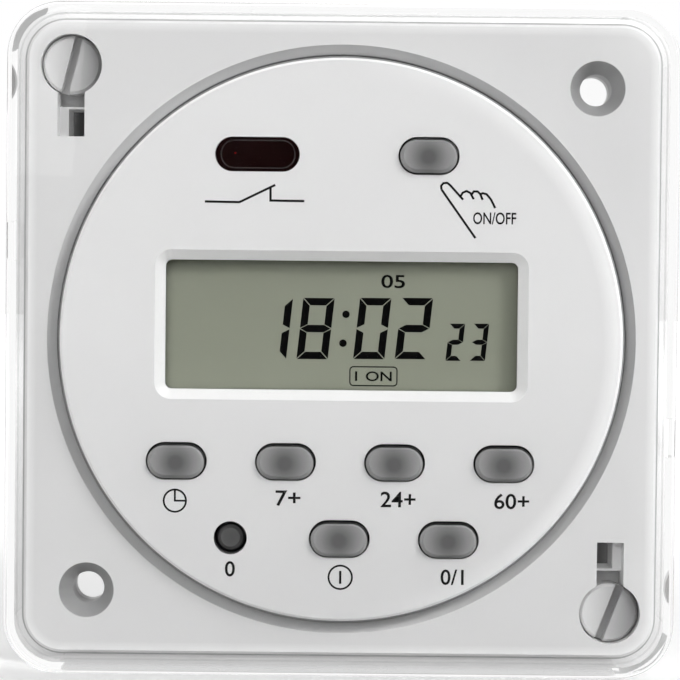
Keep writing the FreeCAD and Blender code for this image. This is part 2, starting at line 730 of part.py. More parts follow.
def build_front_panel():
    """The round front panel: a disc with a skirt, the display frame, key holes and bosses."""
    body = new_body("front_panel")
    pad(body, DISC_FACE, BORE_SEAT, (draw_circle, "0", "0", "disc_radius"))
    dress(body, "Chamfer", "disc_edge", lambda edge: lies_at(edge, DISC_FACE))
    pocket(
        body, DISC_REAR, BORE_SEAT, (draw_circle, "0", "0", "disc_radius - disc_wall")
    )
    for side in ("-boss_offset", "boss_offset"):
        pad(
            body, DISC_REAR, BOARD_FACE,
            (draw_circle, side, "window_rise", "boss_radius"),
        )
        pocket(
            body, f"{BOARD_FACE} - screw_length", BOARD_FACE,
            (draw_circle, side, "window_rise", "screw_radius"),
        )
    pocket(
        body, DISC_FACE, DISC_REAR,
        (
            draw_rounded, "0", "window_rise", "window_width", "window_height",
            "window_corner",
        ),
    )
    limit = worked_out("window_width / 2") + CLOSE
    dress(
        body, "Chamfer", "window_bevel",
        lambda edge: lies_at(edge, DISC_FACE) and edge.BoundBox.XLength <= 2 * limit,
    )
    holes = []
    for name, across, up, form in KEYS:
        if form == "wide":
            shape = (
                draw_obround, across, up, "key_width + 2 * key_gap",
                "key_height + 2 * key_gap",
            )
        else:
            shape = (draw_circle, across, up, "reset_bore")
        holes.append(shape)
    holes.append(
        (
            draw_obround, "-manual_across", "manual_up", "lens_width + 2 * pane_gap",
            "lens_height + 2 * pane_gap",
        )
    )
    pocket(body, DISC_FACE, DISC_REAR, *holes)
    return body


def build_display():
    """The clear pane, the display glass, its holder and the two contact strips."""
    pane = new_body("display_pane")
    rise = "window_rise"
    pad(
        pane, f"{DISC_FACE} + pane_sink", DISC_REAR,
        (
            draw_rounded, "0", rise, "window_width - 2 * pane_gap",
            "window_height - 2 * pane_gap", "window_corner - pane_gap",
        ),
    )
    pad(
        pane, DISC_REAR, PANE_REAR,
        (draw_box, "0", rise, "window_width + 2 * pane_rim", "window_height + 2 * pane_rim"),
    )
    glass = block(
        "display_glass", "0", rise, "glass_width", "glass_height", PANE_REAR, GLASS_REAR
    )
    holder = new_body("display_holder")
    inner = "2 * holder_gap"
    outer = "2 * holder_gap + 2 * holder_wall"
    pad(
        holder, PANE_REAR, BOARD_FACE,
        (draw_rounded, "0", rise, f"glass_width + {outer}", f"glass_height + {outer}",
         "holder_wall"),
        (draw_box, "0", rise, f"glass_width + {inner}", f"glass_height + {inner}"),
    )
    strips = []
    for side, sign in (("upper", "+"), ("lower", "-")):
        offset = "(glass_height / 2 - strip_inset - strip_width / 2)"
        strips.append(
            block(
                f"strip_{side}", "0", f"{rise} {sign} {offset}", "strip_length",
                "strip_width", GLASS_REAR, BOARD_FACE,
            )
        )
    contact = combine("Compound", "contact_strips", strips[0], strips[1:])
    return [pane, glass, holder, contact]


def build_keys():
    """Each key with its rim and stem, and the plunger of the switch that it presses."""
    items = []
    for name, across, up, form in KEYS:
        key = new_body(f"key_{name}")
        rim_front = f"({DISC_REAR} + key_rim_gap)"
        rim_rear = f"({rim_front} + key_rim_skin)"
        if form == "wide":
            front = f"({DISC_FACE} - key_rise)"
            cap = (draw_obround, "0", "0", "key_width", "key_height")
            rim = (
                draw_obround, "0", "0", "key_width + 2 * key_rim",
                "key_height + 2 * key_rim",
            )
        else:
            front = f"({DISC_FACE} + reset_sink)"
            cap = (draw_circle, "0", "0", "reset_radius")
            rim = (draw_circle, "0", "0", "reset_rim")
        pad(key, front, rim_front, cap)
        dress(key, "Chamfer", "key_crown", lambda edge: lies_at(edge, front))
        pad(key, rim_front, rim_rear, rim)
        pad(key, rim_rear, PLUNGER_FACE, (draw_box, "0", "0", "stem_width", "stem_width"))
        place(key, across, "0", up)
        plunger = block(
            f"plunger_{name}", across, up, "stem_width", "stem_width", PLUNGER_FACE,
            f"{SWITCH_FACE} + plunger_root",
        )
        items += [key, plunger]
    return items


def build_key_switches():
    """Eight small switches on the main board, each with a bore for its plunger."""
    switches = []
    for name, across, up, form in KEYS:
        shell = block(
            f"switch_shell_{name}", across, up, "switch_width", "switch_width",
            SWITCH_FACE, BOARD_FACE,
        )
        bore_width = "stem_width + 2 * plunger_gap"
        bore = block(
            f"switch_bore_{name}", across, up, bore_width, bore_width, SWITCH_FACE,
            f"{SWITCH_FACE} + plunger_root + key_travel + plunger_gap",
        )
        switches.append(combine("Cut", f"switch_{name}", shell, [bore]))
    return combine("Compound", "key_switches", switches[0], switches[1:])


def build_indicator():
    """The dark lens in the front panel and the lamp on the board behind it."""
    lens = new_body("indicator_lens")
    pad(
        lens, f"{DISC_FACE} + lens_sink", DISC_REAR,
        (draw_obround, "-manual_across", "manual_up", "lens_width", "lens_height"),
    )
    pad(
        lens, DISC_REAR, f"{DISC_REAR} + lens_rim_skin",
        (
            draw_obround, "-manual_across", "manual_up", "lens_width + 2 * lens_rim",
            "lens_height + 2 * lens_rim",
        ),
    )
    lamp = round_bar(
        "indicator_lamp", "-manual_across", "manual_up", "lamp_radius",
        f"{BOARD_FACE} - lamp_height", BOARD_FACE,
    )
    return [lens, lamp]


def build_main_board():
    """The main board with what it carries: chip, crystal, backup cell and its two screws."""
    plate = round_bar("board_blank", "0", "0", "board_radius", BOARD_FACE, "board_rear")
    holes = []
    screws = []
    head_rear = "board_rear + screw_head_height"
    for side, across in (("left", "-boss_offset"), ("right", "boss_offset")):
        shank = (across, "window_rise", "screw_radius", f"{BOARD_FACE} - screw_length")
        holes.append(round_bar(f"board_hole_{side}", *shank, "board_rear"))
        bar = round_bar(f"screw_shank_{side}", *shank, "board_rear")
        head = round_bar(
            f"screw_head_{side}", across, "window_rise", "screw_head_radius", "board_rear",
            head_rear,
        )
        screws.append(combine("Fuse", f"screw_{side}", bar, [head]))
    board = combine("Cut", "main_board", plate, holes)
    board_screws = combine("Compound", "board_screws", screws[0], screws[1:])
    chip = block(
        "controller_chip", "chip_across", "chip_up", "chip_width", "chip_width",
        "board_rear", "board_rear + chip_depth",
    )
    crystal = doc.addObject("Part::Cylinder", "quartz_crystal")
    crystal.Label = "quartz_crystal"
    bind(crystal, Radius="crystal_radius", Height="crystal_length")
    place(crystal, "crystal_across", "board_rear + crystal_radius", "crystal_up")
    cell = round_bar(
        "backup_cell", "-cell_across", "cell_up", "cell_radius", "board_rear",
        "board_rear + cell_depth",
    )
    return [board, board_screws, chip, crystal, cell]


def build_power_board():
    """The power board with the relay, its capacitors and the plug strip to the main board."""
    board = round_bar("power_board", "0", "0", "supply_radius", SUPPLY_FACE, SUPPLY_REAR)
    relay = block(
        "relay", "relay_across", "-relay_down", "relay_width", "relay_length",
        f"{SUPPLY_FACE} - relay_height", SUPPLY_FACE,
    )
    dropper = block(
        "dropper_capacitor", "0", "dropper_up", "dropper_width",
        "dropper_height", f"{SUPPLY_FACE} - dropper_depth", SUPPLY_FACE,
    )
    smoother = round_bar(
        "smoothing_capacitor", "-smoother_across", "-smoother_down", "smoother_radius",
        f"{SUPPLY_FACE} - smoother_depth", SUPPLY_FACE,
    )
    header = block(
        "board_header", "0", "-header_down", "header_width",
        "header_height", "board_rear", SUPPLY_FACE,
    )
    return [board, relay, dropper, smoother, header]


def terminal_places():
    """The terminals stand in one row across the rear: the number of each and its X."""
    middle = (TERMINALS - 1) / 2
    return [(number, f"({number - middle}) * chamber_pitch") for number in range(TERMINALS)]


def build_rear_cover():
    """The plate that closes the case, with its rim, snap hooks and the terminal block."""
    body = new_body("rear_cover")
    pad(
        body, "body_depth", PLATE_REAR,
        (draw_rounded, "0", "0", "body_width", "body_width", "body_corner"),
    )
    rim_width = f"({HOLLOW_WIDTH} - 2 * closure_gap)"
    rim_corner = f"({HOLLOW_CORNER} - closure_gap)"
    inner_width = f"({rim_width} - 2 * closure_rim)"
    inner_corner = f"({rim_corner} - closure_rim)"
    pad(
        body, SUPPLY_REAR, "body_depth",
        (draw_rounded, "0", "0", rim_width, rim_width, rim_corner),
        (draw_rounded, "0", "0", inner_width, inner_width, inner_corner),
    )
    hook_front = f"({SUPPLY_REAR} + 2 * hook_gap)"
    hook_middle = f"({rim_width} / 2 - closure_rim / 2 + (hook_rise + closure_rim / 2) / 2)"
    for across in (f"-{hook_middle}", hook_middle):
        pad(
            body, hook_front, f"{hook_front} + hook_depth",
            (draw_box, across, "0", "hook_rise + closure_rim / 2", "hook_width"),
        )
    pad(
        body, PLATE_REAR, BLOCK_REAR,
        (draw_box, "0", "0", "block_width", "chamber_height + 2 * block_wall"),
    )
    chambers = []
    slots = []
    for number, across in terminal_places():
        chambers.append((draw_box, across, "0", "chamber_width", "chamber_height"))
        slots.append(
            (draw_box, across, "0", "blade_width + 2 * blade_gap", "blade_skin + 2 * blade_gap")
        )
    pocket(body, PLATE_REAR, BLOCK_REAR, *chambers)
    pocket(body, "body_depth", PLATE_REAR, *slots)
    return body


def build_terminals():
    """Five flat push-on blades, each with a foot, a lead-in and a detent hole."""
    blades = []
    for number, across in terminal_places():
        blade = new_body(f"terminal_{number + 1}")
        tip = f"({PLATE_REAR} + blade_reach)"
        foot = "(body_depth - shoulder_gap)"
        sketch = new_sketch(blade, "-blade_skin / 2", "XY_Plane", flip=1)
        half, wide = "blade_width / 2", "shoulder_width / 2"
        draw_polygon(
            sketch,
            [
                (f"{across} - {wide}", SUPPLY_REAR),
                (f"{across} + {wide}", SUPPLY_REAR),
                (f"{across} + {wide}", foot),
                (f"{across} + {half}", foot),
                (f"{across} + {half}", f"{tip} - blade_point"),
                (f"{across} + {half} - blade_point", tip),
                (f"{across} - {half} + blade_point", tip),
                (f"{across} - {half}", f"{tip} - blade_point"),
                (f"{across} - {half}", foot),
                (f"{across} - {wide}", foot),
            ],
        )
        draw_circle(sketch, across, f"{tip} - blade_hole_back", "blade_hole")
        feature = blade.newObject("PartDesign::Pad", f"terminal_{number + 1}_pad")
        feature.Profile = sketch
        bind(feature, Length="blade_skin")
        doc.recompute()
        blades.append(blade)
    return combine("Compound", "blade_terminals", blades[0], blades[1:])


def build_clear_cover():
    """The clear cap over the whole front, with finger notches and slots for the snap tabs."""
    body = new_body("transparent_cover")
    inner = "(flange_width + 2 * cover_gap)"
    outer = f"({inner} + 2 * cover_wall)"
    pad(
        body, "-cover_front", PANEL,
        (draw_rounded, "0", "0", outer, outer, "cover_corner"),
    )
    dress(body, "Fillet", "cover_edge", lambda edge: lies_at(edge, "-cover_front"))
    pocket(
        body, COVER_INSIDE, PANEL,
        (draw_rounded, "0", "0", inner, inner, "cover_corner - cover_wall"),
    )
    wall_middle = "(flange_width / 2 + cover_gap + cover_wall / 2)"
    pocket(
        body, "-cover_notch_depth", PANEL,
        (
            draw_box, "0", wall_middle, "cover_notch_width", "2 * cover_wall",
        ),
        (
            draw_box, "0", f"-{wall_middle}", "cover_notch_width", "2 * cover_wall",
        ),
    )
    window = pocket(
        body, "-snap_centre - snap_depth / 2 - snap_gap", PANEL,
        (
            draw_box, f"-{wall_middle}", "snap_offset", "2 * cover_wall",
            "snap_height + 2 * snap_gap",
        ),
    )
    opposite(body, [window])
    return body


def build_clamps():
    """Two clamps: slotted screw, bush under its head, nut that it draws along and claw."""
    items = []
    for side, across, up, turn in (
        ("upper", "-clamp_offset", "clamp_offset", "0"),
        ("lower", "clamp_offset", "-clamp_offset", "180"),
    ):
        screw = new_body(f"clamp_screw_{side}")
        head_front = f"({HEAD_SEAT} - head_height)"
        pad(screw, head_front, HEAD_SEAT, (draw_circle, "0", "0", "head_radius"))
        dress(screw, "Chamfer", "head_edge", lambda edge: lies_at(edge, head_front))
        pad(
            screw, HEAD_SEAT, "body_depth",
            (draw_circle, "0", "0", "shank_radius"),
        )
        pocket(
            screw, head_front, f"{head_front} + slot_depth",
            (draw_box, "0", "0", "slot_width", "3 * head_radius"),
        )
        place(screw, across, "0", up, f"{turn} + slot_turn_{side}")
        bush = new_body(f"clamp_bush_{side}")
        tongue_start = "(shank_radius / 2 + bush_radius / 2)"
        pad(
            bush, HEAD_SEAT, BUSH_SEAT, (draw_circle, "0", "0", "bush_radius"),
            (draw_circle, "0", "0", "shank_radius + shank_gap"),
        )
        pad(
            bush, HEAD_SEAT, BUSH_SEAT,
            (
                draw_box, "0", f"-(bush_reach + {tongue_start}) / 2",
                "keyhole_width - 2 * bush_gap", f"bush_reach - {tongue_start}",
            ),
        )
        place(bush, across, "0", up, turn)
        nut = new_body(f"clamp_nut_{side}")
        eye_rear = "(claw_start + claw_height)"
        collar_rear = f"({eye_rear} + claw_gap + nut_collar_skin)"
        bore = (draw_circle, "0", "0", "shank_radius + shank_gap")
        pad(
            nut, "claw_start", collar_rear, (draw_circle, "0", "0", "nut_radius"), bore,
        )
        pad(
            nut, f"{eye_rear} + claw_gap", collar_rear,
            (draw_circle, "0", "0", "nut_collar"), bore,
        )
        place(nut, across, "0", up, turn)
        claw = new_body(f"clamp_claw_{side}")
        eye_bore = (draw_circle, "0", "0", "nut_radius + claw_gap")
        pad(claw, "claw_start", eye_rear, (draw_circle, "0", "0", "claw_eye"), eye_bore)
        arm_start = "(nut_radius / 2 + claw_eye / 2 + claw_gap / 2)"
        arm_middle = f"-(claw_reach + {arm_start}) / 2"
        pad(
            claw, "claw_start", "claw_start + claw_skin",
            (draw_box, "0", arm_middle, "claw_width", f"claw_reach - {arm_start}"),
        )
        place(claw, across, "0", up, turn)
        items += [screw, bush, nut, claw]
    return items


def check_document():
    for item in doc.Objects:
        if {"Invalid", "Error"} & set(item.State):
            raise ValueError(f"{item.Label} failed: {item.State}")


def write_steps(items):
    os.makedirs("parts", exist_ok=True)
    for item in items:
        shape = item.Shape
        if shape.isNull() or not shape.isValid() or not shape.Solids:
            raise ValueError(f"{item.Label} has no valid solid")
    for item in items:
        item.Shape.exportStep(f"parts/{item.Label}.step")
        print(item.Label, len(item.Shape.Solids), round(item.Shape.Volume, 3))


def main():
    items = [
        build_base_housing(),
        build_front_panel(),
        *build_display(),
        *build_keys(),
        build_key_switches(),
        *build_indicator(),
        *build_main_board(),
        *build_power_board(),
        build_rear_cover(),
        build_terminals(),
        build_clear_cover(),
        *build_clamps(),
    ]
    doc.recompute()
    check_document()
    write_steps(items)


main()
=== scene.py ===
import json
import math

import bmesh
import bpy
from mathutils import Matrix, Vector


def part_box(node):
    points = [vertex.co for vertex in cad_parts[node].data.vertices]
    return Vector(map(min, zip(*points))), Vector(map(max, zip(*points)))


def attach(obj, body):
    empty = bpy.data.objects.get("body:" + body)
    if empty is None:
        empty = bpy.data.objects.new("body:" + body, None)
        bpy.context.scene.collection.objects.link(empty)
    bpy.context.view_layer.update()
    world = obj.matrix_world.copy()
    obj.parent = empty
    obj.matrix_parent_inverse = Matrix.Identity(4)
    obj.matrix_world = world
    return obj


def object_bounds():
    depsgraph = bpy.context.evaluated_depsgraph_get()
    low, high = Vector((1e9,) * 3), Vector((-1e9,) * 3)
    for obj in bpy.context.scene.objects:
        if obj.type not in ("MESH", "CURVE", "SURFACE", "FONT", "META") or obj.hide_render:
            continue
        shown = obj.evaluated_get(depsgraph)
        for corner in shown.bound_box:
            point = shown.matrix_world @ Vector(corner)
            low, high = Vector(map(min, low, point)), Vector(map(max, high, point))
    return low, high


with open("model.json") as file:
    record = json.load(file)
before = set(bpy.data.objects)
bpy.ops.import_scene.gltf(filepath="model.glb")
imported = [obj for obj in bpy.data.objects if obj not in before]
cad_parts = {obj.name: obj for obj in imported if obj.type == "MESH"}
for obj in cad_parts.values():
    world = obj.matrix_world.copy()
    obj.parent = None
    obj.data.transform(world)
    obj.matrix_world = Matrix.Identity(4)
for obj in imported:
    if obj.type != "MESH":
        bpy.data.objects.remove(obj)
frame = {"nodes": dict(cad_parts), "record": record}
cad_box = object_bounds()

MM = 0.001

# Faces that marks lie on, and half sizes of the front, in metres, read from the frame
PANEL_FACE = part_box("front_panel")[0].y
GLASS_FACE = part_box("display_glass")[0].y
LENS_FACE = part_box("indicator_lens")[0].y
PANEL_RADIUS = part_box("front_panel")[1].x
FLANGE_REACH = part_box("base_housing")[1].z

# The camera of the photograph: nearly frontal and a little above the middle
PHOTO_SIZE = 680
CAMERA_DISTANCE = 0.2
CAMERA_RISE = math.radians(1.5)
CAMERA_ROLL = math.radians(0.6)
CAMERA_AIM = Vector((-0.12, -4, -0.05)) * MM
CAMERA_PLACE = CAMERA_AIM + CAMERA_DISTANCE * Vector(
    (0, -math.cos(CAMERA_RISE), math.sin(CAMERA_RISE))
)
CAMERA_FACING = (CAMERA_AIM - CAMERA_PLACE).to_track_quat("-Z", "Y").to_matrix()
CAMERA_TURN = CAMERA_FACING @ Matrix.Rotation(CAMERA_ROLL, 3, "Z")

# The scales of the cover's and the panel's face are in pixels per metre, the focal length in pixels
COVER_SCALE = 11.23 / MM
FOCAL_LENGTH = COVER_SCALE * (cad_box[0].y - CAMERA_PLACE.y)
PANEL_SCALE = FOCAL_LENGTH / (PANEL_FACE - CAMERA_PLACE.y)


def from_photo(pixel, face=PANEL_FACE):
    """A pixel of the photograph as X and Z on a face parallel to the panel, in metres."""
    middle = PHOTO_SIZE / 2
    ray = CAMERA_TURN @ Vector((pixel[0] - middle, middle - pixel[1], -FOCAL_LENGTH))
    spot = CAMERA_PLACE + ray * ((face - CAMERA_PLACE.y) / ray.y)
    return spot.x, spot.z


def photo_length(pixels):
    return pixels / PANEL_SCALE


# Steps of a material

NOISE_ROUGHNESS = 0.55
BUMP_DEPTH = 0.02 * MM


def new_material(name):
    material = bpy.data.materials.new(name)
    material.use_nodes = True
    tree = material.node_tree
    return material, tree, tree.nodes["Principled BSDF"]


def linked(tree, kind, *sources):
    """A new node of a kind, with its first sockets linked to the sources."""
    node = tree.nodes.new(kind)
    for number, source in enumerate(sources):
        tree.links.new(source, node.inputs[number])
    return node


def coordinate(tree, kind):
    return tree.nodes.new("ShaderNodeTexCoord").outputs[kind]


def along_axis(tree, vector, axis):
    return linked(tree, "ShaderNodeSeparateXYZ", vector).outputs[axis]


def calculated(tree, operation, *sources):
    node = linked(tree, "ShaderNodeMath", *sources)
    node.operation = operation
    return node.outputs["Value"]


def scaled(tree, source, span, levels):
    """A value carried over from one range to another, and held inside it."""
    node = linked(tree, "ShaderNodeMapRange", source)
    for name, amount in zip(("From Min", "From Max", "To Min", "To Max"), (*span, *levels)):
        node.inputs[name].default_value = amount
    return node.outputs["Result"]


def add_noise(tree, scale, detail):
    noise = linked(tree, "ShaderNodeTexNoise", coordinate(tree, "Object"))
    noise.inputs["Scale"].default_value = scale
    noise.inputs["Detail"].default_value = detail
    noise.inputs["Roughness"].default_value = NOISE_ROUGHNESS
    return noise.outputs["Fac"]


def add_ramp(tree, source, stops):
    ramp = linked(tree, "ShaderNodeValToRGB", source)
    elements = ramp.color_ramp.elements
    while len(elements) < len(stops):
        elements.new(0.0)
    for element, (position, colour) in zip(elements, stops):
        element.position = position
        element.color = (*colour, 1)
    return ramp.outputs["Color"]


def add_bump(tree, height, strength):
    bump = tree.nodes.new("ShaderNodeBump")
    bump.inputs["Strength"].default_value = strength
    bump.inputs["Distance"].default_value = BUMP_DEPTH
    tree.links.new(height, bump.inputs["Height"])
    return bump.outputs["Normal"]


def reach_from(tree, across, up):
    """The distance from an axis along Y, in metres."""
    aside = linked(tree, "ShaderNodeMapping", coordinate(tree, "Object"))
    aside.inputs["Location"].default_value = (-across, 0, -up)
    aside.inputs["Scale"].default_value = (1, 0, 1)
    reach = linked(tree, "ShaderNodeVectorMath", aside.outputs["Vector"])
    reach.operation = "LENGTH"
    return reach.outputs["Value"]


def reach_beyond(tree, vector, across, up):
    """The distance in X and Z from a rectangle round the middle, given by its half sizes."""
    for operation, amount in (
        ("ABSOLUTE", None), ("SUBTRACT", (across, 0, up)), ("MAXIMUM", (0, 0, 0)),
        ("MULTIPLY", (1, 0, 1)), ("LENGTH", None),
    ):
        step = linked(tree, "ShaderNodeVectorMath", vector)
        step.operation = operation
        if amount:
            step.inputs[1].default_value = amount
        vector = step.outputs["Value" if operation == "LENGTH" else "Vector"]
    return vector


def facing_front(tree):
    """How squarely a face looks along Y, from 0 to 1."""
    return calculated(tree, "ABSOLUTE", along_axis(tree, coordinate(tree, "Normal"), "Y"))


def where(tree, gain, gate):
    """A gain in full where the gate is 1, and none where it is 0."""
    return calculated(tree, "POWER", gain, gate)


def multiply_colour(tree, factor):
    """Multiplies what is linked to the material's base colour by a colour or a number."""
    base = tree.nodes["Principled BSDF"].inputs["Base Color"]
    mix = tree.nodes.new("ShaderNodeMix")
    mix.data_type = "RGBA"
    mix.blend_type = "MULTIPLY"
    mix.inputs["Factor"].default_value = 1.0
    colours = [socket for socket in mix.inputs if socket.type == "RGBA"]
    tree.links.new(base.links[0].from_socket, colours[0])
    tree.links.new(factor, colours[1])
    result = [socket for socket in mix.outputs if socket.type == "RGBA"][0]
    tree.links.new(result, base)


def grey(level):
    return (level, level, level)


def shade(colour, factor):
    return tuple(min(1.0, part * factor) for part in colour)


BLACK = grey(0)
WHITE = grey(1)


# Plain moulded and metal surfaces, with each noise's scale and detail

DRIFT_NOISE = (90, 3)
DRIFT_ENDS = (0.35, 0.65)
GLOSS_NOISE = (700, 4)
GLOSS_SPREAD = 0.12
GRAIN_SCALE = 9000
GRAIN_DETAIL = 2


def textured(
    name, colour, roughness, grain=GRAIN_SCALE, bump=0.15, spread=0.03, metallic=0.0, gleam=0.5
):
    """A moulded or metal surface: slow colour drift, fine grain and uneven gloss."""
    material, tree, shader = new_material(name)
    drift_colours = (shade(colour, 1 - spread), shade(colour, 1 + spread))
    drift = add_ramp(tree, add_noise(tree, *DRIFT_NOISE), list(zip(DRIFT_ENDS, drift_colours)))
    tree.links.new(drift, shader.inputs["Base Color"])
    gloss_levels = (roughness * (1 - GLOSS_SPREAD), roughness * (1 + GLOSS_SPREAD))
    gloss = scaled(tree, add_noise(tree, *GLOSS_NOISE), (0, 1), gloss_levels)
    tree.links.new(gloss, shader.inputs["Roughness"])
    shader.inputs["Metallic"].default_value = metallic
    shader.inputs["Specular IOR Level"].default_value = gleam
    fine = add_bump(tree, add_noise(tree, grain, GRAIN_DETAIL), bump)
    tree.links.new(fine, shader.inputs["Normal"])
    return material


# Clear plastic

TINT_NOISE = (60, 2)
TINT_ENDS = (0.3, 0.7)
TINT_DRIFT = 0.995
WAVE_NOISE = (120, 1)
WAVE_STRENGTH = 0.03
CLEAR_GLEAM = 0.1


def clear_material(name, tint, roughness, ior):
    """Clear plastic: transmits, with the faintest waviness of a moulded sheet."""
    material, tree, shader = new_material(name)
    tints = (shade(tint, TINT_DRIFT), tint)
    drift = add_ramp(tree, add_noise(tree, *TINT_NOISE), list(zip(TINT_ENDS, tints)))
    tree.links.new(drift, shader.inputs["Base Color"])
    shader.inputs["Roughness"].default_value = roughness
    shader.inputs["Transmission Weight"].default_value = 1.0
    shader.inputs["IOR"].default_value = ior
    shader.inputs["Specular IOR Level"].default_value = CLEAR_GLEAM
    waves = add_bump(tree, add_noise(tree, *WAVE_NOISE), WAVE_STRENGTH)
    tree.links.new(waves, shader.inputs["Normal"])
    # the lamps' light passes through
    path = tree.nodes.new("ShaderNodeLightPath")
    passing = tree.nodes.new("ShaderNodeBsdfTransparent")
    mix = linked(
        tree, "ShaderNodeMixShader",
        path.outputs["Is Shadow Ray"], shader.outputs["BSDF"], passing.outputs["BSDF"],
    )
    tree.links.new(mix.outputs["Shader"], tree.nodes["Material Output"].inputs["Surface"])
    return material


# Keys, whose faces get painted shading by the distance from the middle of the cap, and painted
# shadow round it

KEY_CAP = (5.2 * MM, 3.1 * MM)
# The shift of the painted shadow round the keys' caps
KEY_SHADOW_SHIFT = (0.05 * MM, 0.12 * MM)
RESET_CAP = (2.6 * MM, 2.6 * MM)
# Where a cap's painted shading changes, and where its painted shadow begins
CAP_MIDDLE = 0.2
CAP_RIM = 0.9
CAP_SHADOW_EDGE = (0.485, 0.5)
SIDE_SHADE_FACING = 0.5
KEY_GRAIN = 14000


def key_material(name, node, middle, rim, cap, shadow_shift=(0, 0)):
    """A key's plastic: painted shade, darker in the cap's middle, and painted shadow, black at its
    edge and sides.

    The cap's size is its width and height. The shadow shift widens the painted shadow above and to
    the right.
    """
    material = textured(name, middle, roughness=0.6, grain=KEY_GRAIN, bump=0.25)
    tree = material.node_tree
    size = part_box(node)[1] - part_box(node)[0]
    centred = linked(tree, "ShaderNodeMapping", coordinate(tree, "Generated"))
    centred.inputs["Location"].default_value = (shadow_shift[0] - size.x / 2, 0, shadow_shift[1] - size.z / 2)
    centred.inputs["Scale"].default_value = (size.x, 0, size.z)
    place = centred.outputs["Vector"]
    width, height = cap
    reach = scaled(tree, reach_beyond(tree, place, 0, 0), (0, width / 2), (0, 1))
    # painted shading: the cap darker in its middle than towards its rim
    face = add_ramp(tree, reach, [(CAP_MIDDLE, middle), (CAP_RIM, rim)])
    tree.links.new(face, tree.nodes["Principled BSDF"].inputs["Base Color"])
    # painted shadow: black round the cap's edge
    edge = reach_beyond(tree, place, (width - height) / 2, 0)
    multiply_colour(tree, scaled(tree, edge, [part * height for part in CAP_SHADOW_EDGE], (1, 0)))
    # painted shade: black on the key's sides
    multiply_colour(tree, add_ramp(tree, facing_front(tree), [(0, BLACK), (SIDE_SHADE_FACING, WHITE)]))
    return material


# The front panel, with painted light and shade

# Gains and bands of the panel's painted light, painted highlight and painted shade
BEVEL_LIGHT_GAIN = 1.18
STEEPEST_BEVEL = 0.3
FLATTEST_BEVEL = 0.96
FLAT_FACING = 0.99
WALL_FACING = (0.1, 0.3)
KEY_HOLES_END = (PANEL_RADIUS - 1.0 * MM, PANEL_RADIUS - 0.9 * MM)
HOLE_WALL_SHADE = 0.35
LOWER_HALF = (-25 * MM, 0)
LOWER_SHADE = 0.88
HIGHLIGHT_BAND = (PANEL_RADIUS - 2.0 * MM, PANEL_RADIUS - 0.8 * MM)
RIGHT_HALF = (0, 22 * MM)
RIGHT_HIGHLIGHT_GAIN = 1.18
GAP_SHADOW_BAND = (PANEL_RADIUS - 0.2 * MM, PANEL_RADIUS - 0.14 * MM)
GAP_SHADOW_LEVEL = 0.25


def panel_material(name, colour):
    """The front panel's plastic, with painted light and shade: pale bevels, dark key-hole walls, a
    dark outer line.
    """
    base = shade(colour, BEVEL_LIGHT_GAIN)
    material = textured(name, base, roughness=0.38, bump=0.05, spread=0.006)
    tree = material.node_tree
    place = coordinate(tree, "Object")
    facing = facing_front(tree)
    radius = reach_from(tree, 0, 0)
    # painted light: bevels paler than the flat faces
    flat = grey(1 / BEVEL_LIGHT_GAIN)
    stops = [(0, flat), (STEEPEST_BEVEL, WHITE), (FLATTEST_BEVEL, WHITE), (FLAT_FACING, flat)]
    multiply_colour(tree, add_ramp(tree, facing, stops))
    # painted shade: dark walls in the key holes
    outside = scaled(tree, radius, KEY_HOLES_END, (0, 1))
    fronting = scaled(tree, facing, WALL_FACING, (0, 1))
    lit = calculated(tree, "MAXIMUM", outside, fronting)
    multiply_colour(tree, scaled(tree, lit, (0, 1), (HOLE_WALL_SHADE, 1)))
    # painted shade: darker towards the bottom
    height = along_axis(tree, place, "Z")
    multiply_colour(tree, scaled(tree, height, LOWER_HALF, (LOWER_SHADE, 1)))
    # painted highlight along the right of the panel's edge
    right = scaled(tree, along_axis(tree, place, "X"), RIGHT_HALF, (1, RIGHT_HIGHLIGHT_GAIN))
    multiply_colour(tree, where(tree, right, scaled(tree, radius, HIGHLIGHT_BAND, (0, 1))))
    # painted shadow: a dark line at the gap round the panel's edge
    gap_shadow = scaled(tree, radius, GAP_SHADOW_BAND, (1, GAP_SHADOW_LEVEL))
    multiply_colour(tree, where(tree, gap_shadow, fronting))
    return material


# The housing: its flange, the sloping ring round the bore, and the countersinks, with painted light
# and shade

# The flange edge's painted highlight and painted shadow line, and the painted shade in the holes
# and on the ring
EDGE_HIGHLIGHT_GAIN = 1.22
FLANGE_CORNER = 3.75 * MM
FLANGE_CORE = FLANGE_REACH - FLANGE_CORNER
HIGHLIGHT_MARGIN = (FLANGE_CORNER - 1.2 * MM, FLANGE_CORNER - 0.3 * MM)
OUTER_SHADOW_LINE = (FLANGE_CORNER - 0.18 * MM, FLANGE_CORNER - 0.12 * MM)
LINE_FACING = (0.3, 0.6)
LINE_SHADE = 0.5
FRONT_PART = (-1.6 * MM, -1.2 * MM)
FIXING_REACH = 23 * MM
COUNTERSINK_REACH = 2.55 * MM
COUNTERSINK_SHADE = 0.5
BORE_REACH = 26.02 * MM
BORE_SHADE = 0.16
SHADE_STEP = 0.1 * MM
RING_END = (27.6 * MM, 27.7 * MM)
RING_FACING = (0.85, 0.95)

# Painted light and shade on the ring: gains along X, outward from the middle, and over the sum of X
# and Z
RING_RIGHT = (4 * MM, 26 * MM)
RING_RIGHT_SHADE_GAINS = (1, 0.68)
RING_OUTWARD = (BORE_REACH, 27.3 * MM)
RING_OUTWARD_LIGHT_AND_SHADE_GAINS = (1.1, 0.78)
RING_UPPER_RIGHT = (8 * MM, 36 * MM)
RING_UPPER_RIGHT_SHADE_GAINS = (1, 0.74)


